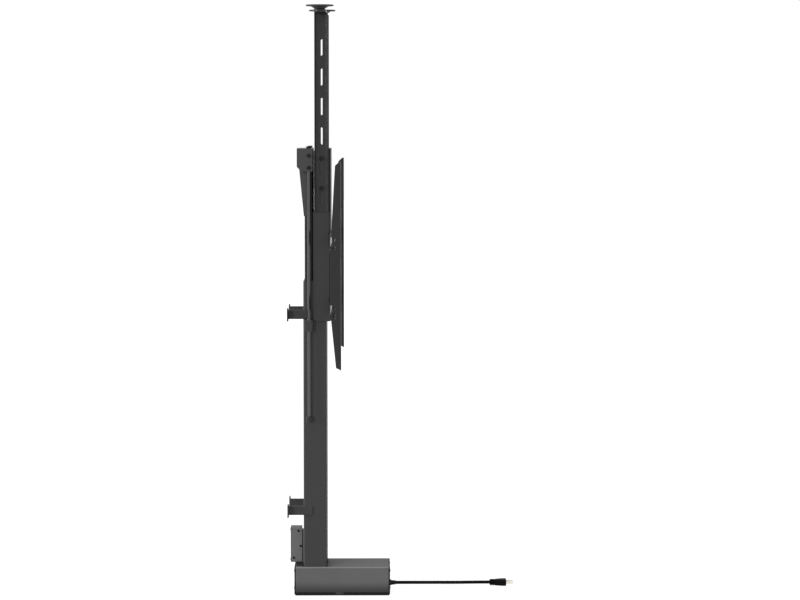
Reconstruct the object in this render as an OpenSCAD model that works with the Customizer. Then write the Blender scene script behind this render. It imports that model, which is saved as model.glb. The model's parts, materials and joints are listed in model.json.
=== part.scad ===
// Two-stage lift for a television, drawn fully raised.
// A screw raises the mast out of the column, and a rack-and-pinion pair raises the carriage
// up the mast by the same amount, so the television travels twice as far as the screw nut.
// +X faces the television, +Z is up, and the origin is the middle of the base on the floor.

/* [Base] */
// Length of the base behind the column
base_back = 20.5; // [18:0.5:40]
// Length of the base in front of the column
base_front = 137.5; // [129:0.5:200]
// Width of the base beyond the column on each side
base_side = 4; // [3:0.5:30]
// Height of the base housing's top above the floor
base_h = 63; // [60:1:90]
// Sheet thickness of the base housing
base_wall = 1.5; // [1:0.1:2.5]
// Thickness of the caps on the housing's ends
cap_t = 3; // [2:0.5:4]
// Radius of the housing's long top edges
base_edge_r = 3; // [2.6:0.1:5]
// Thickness of the steel base plate
plate_t = 5; // [3:0.5:8]
// Thickness of the rubber mat under the base plate
mat_t = 2; // [1.5:0.5:4]

/* [Column and mast] */
// Height of the column above the base housing
column_rise = 625; // [560:1:760]
// Depth of the column, front to back
column_d = 51; // [50:0.5:70]
// Width of the column
column_w = 120; // [112:1:180]
// Sheet thickness of the column
column_wall = 2; // [1.5:0.1:3]
// Outer corner radius of the column
column_r = 4; // [3.2:0.1:6]
// Depth of the mast, front to back
mast_d = 18.3; // [17:0.1:22]
// Wall of the mast
mast_wall = 2; // [1.5:0.1:2.5]
// Travel of each stage
stage_stroke = 220; // [180:1:260]
// Sheet thickness of the mast's head
head_t = 2.5; // [2:0.1:4]
// Height of the mast's head
head_h = 50; // [40:1:64]
// Reach of the head behind the column
head_back = 13; // [10:0.5:24]
// Chamfer along the head's lower back edge
head_chamfer = 10; // [4:0.5:12]
// Length of the tapered tails under the head
tail_h = 97; // [60:1:100]

/* [Guide rods] */
// Diameter of the guide rods
rod_d = 7; // [6:0.1:9]
// Length of the guide rods below the head
rod_len = 544; // [480:1:580]
// Height of the guide blocks
block_h = 25; // [18:1:40]

/* [Drive] */
// Diameter of the drive motor
motor_d = 42; // [32:1:46]
// Length of the drive motor
motor_len = 82; // [50:1:90]
// Outer diameter of the lead screw
screw_d = 10; // [9:0.5:12]
// Teeth on the synchroniser pinion
pinion_teeth = 24; // [20:2:28]
// Module of the pinion and the racks
gear_module = 1.5; // [1.2:0.1:1.6]
// Face width of the racks
rack_w = 7; // [5:0.5:9]

/* [Carriage] */
// Sheet thickness of the carriage
carriage_t = 2.5; // [2:0.1:4]
// Height of the wide part of the carriage's flanges
flange_h = 237.5; // [160:0.5:260]
// Corner radius at the back of the flanges' lower end
flange_r = 11; // [4:1:18]
// Thickness of the mounting plate on the carriage's front
front_plate_t = 2.9; // [2:0.1:5]

/* [Lid frame] */
// Width of the slotted bars
bar_w = 29.5; // [27:0.5:31]
// Depth of the slotted bars
bar_depth = 6; // [5:0.1:8]
// Length of the slotted bars
bar_len = 429; // [415:1:600]
// Width of the bars' slots
bar_slot_w = 6; // [5.8:0.1:8]
// Length of the bars' slots
bar_slot_len = 38.4; // [37:0.1:50]
// Distance from one slot to the next
bar_slot_pitch = 64.3; // [56:0.1:65]
// Distance between the two lid pads
pad_spacing = 304; // [200:2:400]
// Diameter of the lid pads
pad_d = 59; // [44:1:80]

/* [Screen mount] */
// Length of the two rails
rail_len = 640; // [560:2:720]
// Height of the rails
rail_h = 32; // [28:1:40]
// Depth of the rails
rail_d = 12; // [10:0.5:13]
// Distance between the rails
rail_pitch = 142; // [110:1:200]
// Distance of each arm from its end of the rails
arm_inset = 0; // [0:1:100]
// Length of an arm above the upper rail's middle
arm_up = 170.5; // [120:0.5:220]
// Length of an arm below the lower rail's middle
arm_down = 122; // [90:1:200]
// Width of an arm
arm_w = 30; // [26:1:40]
// Depth of an arm between the rails
arm_d = 23; // [22:0.5:24]
// Width of the screw slots in an arm
arm_slot_w = 8.5; // [6:0.5:9]

/* [Wall brackets and controls] */
// Sheet thickness of the wall brackets
bracket_t = 3; // [2:0.1:4]
// Height of the wall brackets' webs
bracket_h = 20; // [14:1:26]
// Reach of the wall brackets behind the column
bracket_back = 35; // [28:0.5:60]
// Reach of the wall brackets' flanges to each side
bracket_flange = 22; // [18:1:40]
// Diameter of the wall brackets' screw holes
bracket_hole_d = 6.5; // [5:0.1:8]
// Height of the control box
control_h = 78; // [60:1:90]
// Depth of the control box
control_d = 29.7; // [24:0.1:34]
// Width of the control box
control_w = 32; // [28:1:80]

/* [Mains lead] */
// Diameter of the mains lead
cord_d = 7.2; // [6:0.1:7.4]

/* [Hidden] */
$fn = 64;
// Running gap between a sliding piece and its guide
slide_gap = 0.3;
// Radial gap of a shaft in its bearing
shaft_gap = 0.05;
// Gap at a seat between pieces of one body
seat_gap = 0.05;
// Gap kept between pieces that pass each other
pass_gap = 1;
// Overshoot that makes a cut go clean through
cut = 1;

// Base and column in plan
base_len = base_back + column_d + base_front;
base_w = column_w + 2 * base_side;
base_x0 = -base_len / 2;
base_x1 = base_len / 2;
col_x0 = base_x0 + base_back;
col_x1 = col_x0 + column_d;
col_in_x0 = col_x0 + column_wall;
col_in_x1 = col_x1 - column_wall;
col_y = column_w / 2;
col_in_y = col_y - column_wall;
plate_top = mat_t + plate_t;
column_top = base_h + column_rise;
corner_cut = column_r - column_wall;

// Mast inside its guides
guide_skin = 0.8;
guide_side = 2;
guide_front = 3.6;
guide_reach = 10;
mast_x0 = col_in_x0 + guide_skin + slide_gap;
mast_x1 = mast_x0 + mast_d;
mast_y = col_in_y - guide_side - slide_gap;
screw_x = (mast_x0 + mast_x1) / 2;

// Pinion and racks: the pinion turns on the mast's front face
pitch_r = gear_module * pinion_teeth / 2;
tooth_pitch = PI * gear_module;
addendum = gear_module;
dedendum = 1.25 * gear_module;
pressure_angle = 20;
flank_gap = 0.4;
pinion_drop = 48;
pinion_z = column_top - pinion_drop;
pinion_x0 = mast_x1 + guide_front + slide_gap + 0.5;
pinion_w = rack_w + 1;
pinion_x1 = pinion_x0 + pinion_w;
rack_x0 = pinion_x0 + 0.5;
rack_x1 = rack_x0 + rack_w;
rack_back = 9;
rack_over = 25;
axle_d = 10;
slot_y = pitch_r + rack_back + 5;
rack_leg_t = 10;
rack_leg_y1 = col_in_y - corner_cut - 1;
rack_leg_y0 = rack_leg_y1 - rack_leg_t;

// Drive, from the base plate up
motor_lift = 1;
motor_z = plate_top + motor_lift + motor_d / 2;
gearbox_top = plate_top + motor_lift + motor_d;
journal_d = screw_d - 2;
journal_in = 8;
coupler_h = 26;
coupler_z0 = gearbox_top + 2;
bearing_d = journal_d + 10;
bearing_h = 8;
bearing_z0 = coupler_z0 + coupler_h + pass_gap;
collar_z0 = bearing_z0 + bearing_h + slide_gap;
collar_t = 4;
mast_park_z = collar_z0 + collar_t + 6;
mast_z0 = mast_park_z + stage_stroke;
nut_h = 30;
nut_w = 40;

// Head on top of the mast
head_park_gap = 18;
head_z0 = column_top + head_park_gap + stage_stroke;
head_z1 = head_z0 + head_h;
head_x0 = col_x0 - head_back;
head_x1 = mast_x1 - 0.4;
mast_z1 = head_z1 - head_t;

// Carriage around the column
flange_gap = 4.5;
flange_y0 = col_y + flange_gap;
flange_y1 = flange_y0 + carriage_t;
web_x0 = col_x1 + 4.3;
web_x1 = web_x0 + carriage_t;
front_x = web_x1 + front_plate_t;
rack_lift = 14;
car_z0 = pinion_z - rack_over - rack_lift;
car_z1 = head_z1;
car_x0 = mast_x1 + 0.1;
flange_top = car_z0 + flange_h;
rack_car_z0 = pinion_z - rack_over;
rack_car_z1 = pinion_z + stage_stroke + rack_over;
shoe_lift = 6;
shoe_h = 76;
shoe_z0 = car_z0 + shoe_lift;
shoe_z1 = shoe_z0 + shoe_h;
upper_shoe_gap = 5;
upper_shoe_h = 80;
upper_shoe_z0 = rack_car_z1 + upper_shoe_gap;
upper_shoe_z1 = upper_shoe_z0 + upper_shoe_h;

// T-shaped rail on the mast for the upper shoe
tee_stem_y = 4;
tee_head_y = 8;
tee_stem = 5;
tee_head = 4;
tee_x1 = mast_x1 + tee_stem + tee_head;
tee_z0 = pinion_z + pitch_r + addendum + 8;
tee_z1 = mast_z1 - 2;
shoe_y = 13;
shoe_x1 = tee_x1 + slide_gap + 6;

// Guide rods and blocks beside the column
rod_side_gap = 3.5;
rod_y_at = col_y + bracket_t + rod_side_gap + rod_d / 2;
bush_t = 1.3;
block_x0 = col_x0 + 0.5;
block_x1 = car_x0 - pass_gap;
rod_x_at = (block_x0 + block_x1) / 2 + 2.2;
block_y1 = rod_y_at + rod_d / 2 + bush_t + 2;
rod_z0 = head_z0 - rod_len;
stop_d = rod_d + 2 * (rod_side_gap - 0.9);
stop_h = 12;
head_y = rod_y_at + rod_d / 2 + 1 + head_t;
tail_y = col_y + bracket_t + slide_gap;
tail_t = 2;
tail_x1 = rod_x_at - rod_d / 2 + 1;
tail_tip_x = mast_x0 - 1.3;

// Wall brackets
bracket_drop = 62.4;
lower_bracket_rise = 114;
upper_bracket_z = column_top - bracket_drop - bracket_h;
lower_bracket_z = base_h + lower_bracket_rise;
bracket_x0 = col_x0 - bracket_back;
bracket_x1 = car_x0 - 2.1;
bracket_lift = 4;
bracket_hole_y = col_y + bracket_t + (bracket_flange - bracket_t) / 2;
block_z1 = upper_bracket_z - pass_gap;

// Lid frame
bar_x1 = web_x0 - 0.7;
bar_x0 = bar_x1 - bar_w;
bar_y0 = flange_y1 + slide_gap;
bar_y1 = bar_y0 + bar_depth;
bar_t = 2;
bar_z0 = flange_top;
bar_z1 = bar_z0 + bar_len;
bar_slots = 6;
first_slot = 35.1;
slot_end = (bar_slot_len - bar_slot_w) / 2;
bar_mid_x = (bar_x0 + bar_x1) / 2;
crossbar_t = 5;
crossbar_w = 27;
crossbar_x = bar_x0 + crossbar_w / 2;
crossbar_z1 = bar_z1 + crossbar_t;
pad_t = 3;
pad_boss_h = 6.5;
pad_edge = 0.8;

// Screen mount
rail_lift = 37;
lower_rail_z = car_z0 + rail_lift;
upper_rail_z = lower_rail_z + rail_pitch;
rail_t = 2;
rail_lip = 7;
arm_reach = 24.3;
arm_x1 = front_x + arm_reach;
arm_x0 = arm_x1 - arm_d;
arm_t = 2;
arm_gap = 0.4;
arm_z0 = lower_rail_z - arm_down;
arm_z1 = upper_rail_z + arm_up;
arm_at = rail_len / 2 - arm_w / 2 - arm_inset;
lock_d = 6;
lock_x = front_x + rail_d - 0.3 * lock_d;
lock_tab_z = lower_rail_z - rail_h / 2 - 14;

// Controls behind the column
grommet_h = 3.4;
grommet_y = 46;
control_z0 = base_h + grommet_h;
control_x0 = col_x0 - control_d;
control_wall = 2;
control_cover_t = 2.5;
control_foot = 4.6;

// Mains lead: it leaves the base's front, comes down to the floor and lies along it
lead_y = 25;
lead_z = plate_top + 7.5;
relief_end = base_x1 + 14.5;
cord_sides = 10;
plug_len = 37;
plug_h0 = 13;
plug_h1 = 15;
plug_w1 = 25;
blade_len = 16;
lying_z = cord_d / 2 + 0.2;
plug_z = plug_h1 / 2 + 0.2;
first_run = 16;
bend_len = 110;
bend_side = 66;
bend_steps = 12;
back_len = 74;
back_side = 21;
back_steps = 8;
last_run = 8;
function ease(i, steps) = (1 - cos(180 * i / steps)) / 2;
bend_x = relief_end + first_run;
back_x = bend_x + bend_len;
cord_route = concat(
    [[relief_end, lead_y, lead_z], [relief_end + first_run / 2, lead_y, lead_z]],
    [for (i = [0 : bend_steps]) let (t = ease(i, bend_steps))
        [bend_x + bend_len * i / bend_steps, lead_y + bend_side * t, lead_z + (lying_z - lead_z) * t]],
    [for (i = [1 : back_steps]) let (t = ease(i, back_steps))
        [back_x + back_len * i / back_steps, lead_y + bend_side - back_side * t,
            lying_z + (plug_z - lying_z) * t]],
    [[back_x + back_len + last_run, lead_y + bend_side - back_side, plug_z]]);
cord_end = cord_route[len(cord_route) - 1];

// Shared shapes

// Box between two opposite corners
module span(a, b) translate(a) cube(b - a);

// Flat shape given in X and Y, made solid between two heights
module slab_z(z0, z1) translate([0, 0, z0]) linear_extrude(z1 - z0) children();

// Flat shape given in X and Z, made solid between two depths
module slab_y(y0, y1) translate([0, y1, 0]) rotate([90, 0, 0]) linear_extrude(y1 - y0) children();

// Flat shape given in Y and Z, made solid between two places along X
module slab_x(x0, x1) translate([x0, 0, 0]) rotate([90, 0, 90]) linear_extrude(x1 - x0) children();

// Round bars along each axis
module bar_along_z(x, y, z0, z1, d) translate([x, y, z0]) cylinder(d = d, h = z1 - z0);
module bar_along_y(x, y0, y1, z, d) translate([x, y0, z]) rotate([-90, 0, 0]) cylinder(d = d, h = y1 - y0);
module bar_along_x(x0, x1, y, z, d) translate([x0, y, z]) rotate([0, 90, 0]) cylinder(d = d, h = x1 - x0);

// The same piece on the +Y side and on the -Y side
module both_sides() {
    children();
    mirror([0, 1, 0]) children();
}

// Rectangle with four round corners
module round_rect(low, high, r) {
    translate([low.x + r, low.y]) square([high.x - low.x - 2 * r, high.y - low.y]);
    translate([low.x, low.y + r]) square([high.x - low.x, high.y - low.y - 2 * r]);
    for (x = [low.x + r, high.x - r], y = [low.y + r, high.y - r])
        translate([x, y]) circle(r = r);
}

// Upright slot with round ends
module slot_2d(x, z, w, length) {
    translate([x - w / 2, z - length / 2 + w / 2]) square([w, length - w]);
    for (end = [-1, 1]) translate([x, z + end * (length - w) / 2]) circle(d = w);
}

// Base

// Housing seen along its length, open below
module base_profile(inset, z0) intersection() {
    round_rect([-base_w / 2 + inset, -base_h], [base_w / 2 - inset, base_h - inset], base_edge_r - inset);
    translate([-base_w / 2, z0]) square([base_w, base_h - z0]);
}

plate_r = 2;
tab_size = 12;
tab_t = 4;
tab_inset = cap_t + pass_gap + tab_size / 2;
housing_screw_d = 4;
tab_x = [base_x0 + tab_inset, base_x1 - tab_inset];
housing_screw_at = [for (x = tab_x, side = [-1, 1]) [x, side * (base_w / 2 - base_wall - tab_size / 2)]];
mat_inset = 2;

// Tongue of the housing that drops into a notch in the plate's edge
tongue_w = 17;
tongue_x = -14;

module base_plate() color("#35373a") difference() {
    slab_z(mat_t, plate_top) round_rect([base_x0, -base_w / 2], [base_x1, base_w / 2], plate_r);
    span([tongue_x - seat_gap, -base_w / 2 - cut, mat_t - cut],
        [tongue_x + tongue_w + seat_gap, -base_w / 2 + base_wall + seat_gap, plate_top + cut]);
    for (p = housing_screw_at)
        bar_along_z(p.x, p.y, mat_t - cut, plate_top + cut, housing_screw_d + 2 * seat_gap);
}

module base_housing() color("#646668") difference() {
    union() {
        slab_x(base_x0 + cap_t, base_x1 - cap_t) difference() {
            base_profile(0, plate_top);
            base_profile(base_wall, plate_top - cut);
        }
        span([tongue_x, -base_w / 2, mat_t],
            [tongue_x + tongue_w, -base_w / 2 + base_wall, plate_top + cut]);
        both_sides() for (x = tab_x)
            span([x - tab_size / 2, base_w / 2 - base_wall - tab_size, plate_top],
                [x + tab_size / 2, base_w / 2 - base_wall / 2, plate_top + tab_t]);
    }
    span([col_x0 - slide_gap, -col_y - slide_gap, base_h - base_wall - cut],
        [col_x1 + slide_gap, col_y + slide_gap, base_h + cut]);
    for (p = housing_screw_at)
        bar_along_z(p.x, p.y, plate_top - cut, plate_top + tab_t + cut, housing_screw_d + 2 * seat_gap);
}

module base_end_caps() color("#2b2d2f") difference() {
    for (x = [base_x0, base_x1 - cap_t])
        slab_x(x, x + cap_t) base_profile(0, plate_top);
    bar_along_x(base_x1 - cap_t - cut, base_x1 + cut, lead_y, lead_z, relief_neck_d + 2 * seat_gap);
}

module base_mat() color("#1c1c1d") difference() {
    slab_z(0, mat_t) round_rect([base_x0 + mat_inset, -base_w / 2 + mat_inset],
        [base_x1 - mat_inset, base_w / 2 - mat_inset], plate_r);
    for (p = housing_screw_at)
        bar_along_z(p.x, p.y, -cut, mat_t + cut, housing_screw_d + 5);
}

module housing_screws() color("silver")
    for (p = housing_screw_at) {
        bar_along_z(p.x, p.y, mat_t - 1.2, mat_t, housing_screw_d + 4);
        bar_along_z(p.x, p.y, mat_t - 0.6, plate_top + tab_t + 2, housing_screw_d);
    }

// Column

module column_section() difference() {
    round_rect([col_x0, -col_y], [col_x1, col_y], column_r);
    round_rect([col_in_x0, -col_in_y], [col_in_x1, col_in_y], corner_cut);
    translate([col_in_x1 - cut, -slot_y]) square([column_wall + 2 * cut, 2 * slot_y]);
}

module column() color("#434548") slab_z(plate_top, column_top) column_section();

// Channel that holds one edge of the mast; its back corner clears the column's bend
module guide_section() {
    x1 = mast_x1 + slide_gap;
    y0 = col_in_y - guide_reach;
    y1 = mast_y + slide_gap;
    polygon([[col_in_x0, y0], [col_in_x0, col_in_y - corner_cut], [col_in_x0 + corner_cut, col_in_y],
        [x1 + guide_front, col_in_y], [x1 + guide_front, y0], [x1, y0], [x1, y1],
        [mast_x0 - slide_gap, y1], [mast_x0 - slide_gap, y0]]);
}

module mast_guides() color("#d8d6cc")
    both_sides() slab_z(mast_park_z, column_top - 2) guide_section();

// Racks and pinion

// Half the thickness of a rack tooth at a distance above the pitch line
function rack_half(up) = tooth_pitch / 4 - flank_gap / 2 - up * tan(pressure_angle);

// Toothed strip that faces -Y, with one tooth at the pinion's height
module rack_profile(z0, z1, back) {
    first = ceil((z0 - pinion_z + tooth_pitch / 2) / tooth_pitch);
    last = floor((z1 - pinion_z - tooth_pitch / 2) / tooth_pitch);
    root = pitch_r + dedendum;
    tip = pitch_r - addendum;
    teeth = [for (k = [first : last]) let (z = pinion_z + k * tooth_pitch)
        each [[root, z - rack_half(-dedendum)], [tip, z - rack_half(addendum)],
            [tip, z + rack_half(addendum)], [root, z + rack_half(-dedendum)]]];
    polygon(concat([[back, z0], [root, z0]], teeth, [[root, z1], [back, z1]]));
}

module fixed_rack() color("#8f9295") {
    z0 = pinion_z - stage_stroke - rack_over;
    z1 = pinion_z + rack_over;
    slab_x(rack_x0, rack_x1) rack_profile(z0, z1, rack_leg_y0 + 1);
    span([rack_x0, rack_leg_y0, z0], [col_in_x1, rack_leg_y1, z1]);
}

module carriage_rack() color("#8f9295") mirror([0, 1, 0]) {
    back = pitch_r + rack_back;
    stem = 6;
    foot = 3;
    slab_x(rack_x0, rack_x1) rack_profile(rack_car_z0, rack_car_z1, back);
    span([rack_x1 - 1, back - stem, rack_car_z0], [web_x0, back, rack_car_z1]);
    span([web_x0 - foot, back - stem - 12, rack_car_z0], [web_x0, back - stem + 1, rack_car_z1]);
}

// Involute gear outline with a gap between teeth at the top and at the bottom
function involute_deg(a) = tan(a) * 180 / PI - a;
base_circle_r = pitch_r * cos(pressure_angle);
function half_tooth(r) = 90 / pinion_teeth - flank_gap / 2 / pitch_r * 90 / PI
    + involute_deg(pressure_angle) - involute_deg(acos(min(1, base_circle_r / r)));
function polar(r, a) = [r * cos(a), r * sin(a)];

module pinion_outline() {
    steps = 4;
    root_r = pitch_r - dedendum;
    tip_r = pitch_r + addendum;
    flank = concat([root_r], [for (i = [0 : steps]) base_circle_r + (tip_r - base_circle_r) * i / steps]);
    last = len(flank) - 1;
    polygon([for (k = [0 : pinion_teeth - 1]) let (mid = (k + 0.5) * 360 / pinion_teeth)
        each concat([for (i = [0 : last]) polar(flank[i], mid - half_tooth(max(flank[i], base_circle_r)))],
            [for (i = [last : -1 : 0]) polar(flank[i], mid + half_tooth(max(flank[i], base_circle_r)))])]);
}

module sync_pinion() color("#c9a24a") difference() {
    translate([pinion_x0, 0, pinion_z]) rotate([0, 90, 0]) linear_extrude(pinion_w) pinion_outline();
    bar_along_x(pinion_x0 - cut, pinion_x1 + cut, 0, pinion_z, axle_d + 2 * shaft_gap);
    for (a = [0 : 60 : 300])
        translate([0, 0, pinion_z]) rotate([a, 0, 0])
            bar_along_x(pinion_x0 - cut, pinion_x1 + cut, 0, (axle_d / 2 + pitch_r - dedendum) / 2, 4.5);
}

module pinion_axle() color("#9b9da0") {
    bar_along_x(mast_x1, mast_x1 + 2.6, 0, pinion_z, axle_d + 12);
    bar_along_x(mast_x1 + 1, pinion_x0 - slide_gap, 0, pinion_z, axle_d + 4);
    bar_along_x(mast_x1 + 1, pinion_x1 + 4, 0, pinion_z, axle_d);
}

module pinion_clip() color("#6f7174") difference() {
    bar_along_x(pinion_x1 + slide_gap, pinion_x1 + slide_gap + 1.6, 0, pinion_z, axle_d + 6);
    bar_along_x(pinion_x1, pinion_x1 + 4, 0, pinion_z, axle_d + 2 * seat_gap);
}

// Drive in the base

module bearing_plate() color("#5b5d60") difference() {
    slab_z(bearing_z0, bearing_z0 + bearing_h)
        polygon([[col_in_x0, -col_in_y + corner_cut], [col_in_x0 + corner_cut, -col_in_y],
            [rack_x1, -col_in_y], [rack_x1, col_in_y], [col_in_x0 + corner_cut, col_in_y],
            [col_in_x0, col_in_y - corner_cut]]);
    bar_along_z(screw_x, 0, bearing_z0 - cut, bearing_z0 + bearing_h + cut, bearing_d + 2 * seat_gap);
}

module screw_bearing() color("#b9bbbe") difference() {
    bar_along_z(screw_x, 0, bearing_z0, bearing_z0 + bearing_h, bearing_d);
    bar_along_z(screw_x, 0, bearing_z0 - cut, bearing_z0 + bearing_h + cut, journal_d + 2 * shaft_gap);
}

gearbox_x0 = col_in_x0 + pass_gap;
gearbox_x1 = col_in_x1 - pass_gap;
gearbox_w = 48;

module gearbox() color("#77797c") difference() {
    union() {
        slab_z(plate_top, gearbox_top - 6)
            round_rect([gearbox_x0, -gearbox_w / 2], [gearbox_x1, gearbox_w / 2], 5);
        bar_along_z(screw_x, 0, gearbox_top - 7, gearbox_top, 2 * (screw_x - gearbox_x0) - 1);
        both_sides() span([gearbox_x0 + 6, gearbox_w / 2 - 1, plate_top],
            [gearbox_x1 - 6, gearbox_w / 2 + 9, plate_top + 5]);
    }
    bar_along_z(screw_x, 0, gearbox_top - journal_in - 0.5, gearbox_top + cut, journal_d + 2 * shaft_gap);
}

// Motor can with a stepped end bell, turned about its own axis
module drive_motor() color("#2f3133")
    translate([gearbox_x1, 0, motor_z]) rotate([0, 90, 0]) rotate_extrude()
        polygon([[0, 0], [motor_d / 2, 0], [motor_d / 2, motor_len - 12], [motor_d / 2 - 1.5, motor_len - 10],
            [motor_d / 2 - 1.5, motor_len - 2], [motor_d / 2 - 3.5, motor_len], [7, motor_len],
            [7, motor_len + 3], [0, motor_len + 3]]);

board_t = 1.6;
board_gap = 5;
transformer_w = 32;
transformer_h = 24;
capacitor_d = 14;
capacitor_h = 22;
capacitor_y = [4, 24];
board_x0 = gearbox_x1 + motor_len + board_gap;
board_x1 = base_x1 - cap_t - 9;
board_y = base_w / 2 - 18;
board_z = plate_top + board_gap;

module power_board() color("#2d5a3c") {
    span([board_x0, -board_y, board_z], [board_x1, board_y, board_z + board_t]);
    for (x = [board_x0 + 5, board_x1 - 5], side = [-1, 1])
        bar_along_z(x, side * (board_y - 5), plate_top, board_z + board_t, 6);
    span([board_x0 + 6, -board_y + 12, board_z],
        [board_x1 - 6, -board_y + 12 + transformer_w, board_z + transformer_h]);
    for (y = capacitor_y)
        bar_along_z((board_x0 + board_x1) / 2, y, board_z, board_z + capacitor_h, capacitor_d);
}

module lead_screw() color("#a7a9ac") {
    bar_along_z(screw_x, 0, gearbox_top - journal_in, collar_z0 + 1, journal_d);
    bar_along_z(screw_x, 0, collar_z0, collar_z0 + collar_t, screw_d + 6);
    bar_along_z(screw_x, 0, collar_z0 + 1, mast_z0 + nut_h + 8, screw_d);
    translate([screw_x, 0, mast_z0 + nut_h + 8]) cylinder(d1 = screw_d, d2 = screw_d - 3, h = 2);
}

module screw_coupler() color("#8a8c8f") difference() {
    bar_along_z(screw_x, 0, coupler_z0, coupler_z0 + coupler_h, journal_d + 10);
    bar_along_z(screw_x, 0, coupler_z0 - cut, coupler_z0 + coupler_h + cut, journal_d + 2 * seat_gap);
    for (z = [6, coupler_h - 6])
        bar_along_y(screw_x, 0, journal_d, coupler_z0 + z, 4);
}

// Mast

module mast() color("#303235") difference() {
    slab_z(mast_z0, mast_z1) round_rect([mast_x0, -mast_y], [mast_x1, mast_y], mast_wall + 1);
    slab_z(mast_z0 - cut, mast_z1 + cut)
        round_rect([mast_x0 + mast_wall, -mast_y + mast_wall], [mast_x1 - mast_wall, mast_y - mast_wall], 1);
}

module drive_nut() color("#b08d45") difference() {
    span([mast_x0 + mast_wall, -nut_w / 2, mast_z0], [mast_x1 - mast_wall, nut_w / 2, mast_z0 + nut_h]);
    bar_along_z(screw_x, 0, mast_z0 - cut, mast_z0 + nut_h + cut, screw_d + 2 * shaft_gap);
}

module mast_rail() color("#9b9da0") slab_z(tee_z0, tee_z1)
    polygon([[mast_x1, -tee_stem_y], [mast_x1 + tee_stem, -tee_stem_y], [mast_x1 + tee_stem, -tee_head_y],
        [tee_x1, -tee_head_y], [tee_x1, tee_head_y], [mast_x1 + tee_stem, tee_head_y],
        [mast_x1 + tee_stem, tee_stem_y], [mast_x1, tee_stem_y]]);

// Side view of the head's box: a lower back edge cut off at an angle
module head_side(inset, front) {
    x0 = head_x0 + inset;
    z0 = head_z0 + inset;
    c = head_chamfer - inset * (2 - sqrt(2));
    polygon([[x0, z0 + c], [x0, head_z1 - inset], [front, head_z1 - inset], [front, z0], [x0 + c, z0]]);
}

module head_bracket() color("#3a3c3f") difference() {
    union() {
        difference() {
            slab_y(-head_y, head_y) head_side(0, head_x1);
            slab_y(-head_y + head_t, head_y - head_t) head_side(head_t, head_x1 + cut);
        }
        both_sides() slab_y(tail_y, tail_y + tail_t)
            polygon([[tail_x1, head_z0 - tail_h], [tail_tip_x, head_z0 - tail_h],
                [head_x0 + head_chamfer / 2, head_z0 + head_chamfer / 2 + 1],
                [tail_x1, head_z0 + head_chamfer / 2 + 1]]);
    }
    span([mast_x0 - seat_gap, -mast_y - seat_gap, head_z0 - cut],
        [head_x1 + cut, mast_y + seat_gap, head_z0 + head_t + cut]);
    both_sides() bar_along_z(rod_x_at, rod_y_at, head_z0 - cut, head_z0 + head_t + cut, rod_d + 2 * seat_gap);
}

cheek_bolt_d = 9;
module head_bolts() color("#2b2c2e") both_sides() {
    bar_along_z(rod_x_at, rod_y_at, head_z1, head_z1 + 4.5, rod_d + 4);
    for (z = [head_z0 + 8, head_z1 - 16])
        bar_along_y(rod_x_at, head_y, head_y + 3.2, z, cheek_bolt_d);
}

module guide_rods() color("#4a4c4f") both_sides() {
    bar_along_z(rod_x_at, rod_y_at, rod_z0, mast_z1, rod_d);
    translate([rod_x_at, rod_y_at, rod_z0 - 1.5]) cylinder(d1 = rod_d - 3, d2 = rod_d, h = 1.5);
}

module rod_stops() color("#202122") both_sides() difference() {
    bar_along_z(rod_x_at, rod_y_at, rod_z0, rod_z0 + stop_h, stop_d);
    bar_along_z(rod_x_at, rod_y_at, rod_z0 - cut, rod_z0 + stop_h + cut, rod_d + 2 * seat_gap);
}

module guide_blocks() color("#3c3e41") both_sides() difference() {
    slab_z(block_z1 - block_h, block_z1)
        polygon([[block_x0, col_y], [block_x0, block_y1 - 3], [block_x0 + 3, block_y1],
            [block_x1 - 3, block_y1], [block_x1, block_y1 - 3], [block_x1, col_y]]);
    bar_along_z(rod_x_at, rod_y_at, block_z1 - block_h - cut, block_z1 + cut,
        rod_d + 2 * bush_t + 2 * seat_gap);
}

module guide_bushes() color("#d8d6cc") both_sides() difference() {
    bar_along_z(rod_x_at, rod_y_at, block_z1 - block_h, block_z1, rod_d + 2 * bush_t);
    bar_along_z(rod_x_at, rod_y_at, block_z1 - block_h - cut, block_z1 + cut, rod_d + 2 * shaft_gap);
}

// Carriage

// Side view of a flange: wide below with a round lower corner, narrow behind the slotted bar
module flange_side() {
    narrow_x = bar_x0 + 3;
    translate([car_x0 + flange_r, car_z0]) square([web_x1 - car_x0 - flange_r, flange_h]);
    translate([car_x0, car_z0 + flange_r]) square([web_x1 - car_x0, flange_h - flange_r]);
    translate([car_x0 + flange_r, car_z0 + flange_r]) circle(r = flange_r);
    translate([narrow_x, flange_top - cut]) square([web_x1 - narrow_x, car_z1 - flange_top + cut]);
}

lid_screw_z = [for (k = [0, 1]) bar_z0 + first_slot + k * bar_slot_pitch + slot_end];
lid_thread_d = 5;

module carriage() color("#3a3c3f") difference() {
    union() {
        both_sides() slab_y(flange_y0, flange_y1) flange_side();
        span([web_x0, -flange_y1, car_z0], [web_x1, flange_y1, car_z1]);
    }
    both_sides() for (z = lid_screw_z)
        bar_along_y(bar_mid_x, flange_y0 - cut, flange_y1 + cut, z, lid_thread_d + 2 * seat_gap);
    rail_screw_bores();
}

module front_plate() color("#45474a") difference() {
    slab_y(-flange_y1, flange_y1) polygon([[web_x1, car_z0], [front_x - 2, car_z0], [front_x, car_z0 + 2],
        [front_x, car_z1], [web_x1, car_z1]]);
    rail_screw_bores();
}

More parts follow.
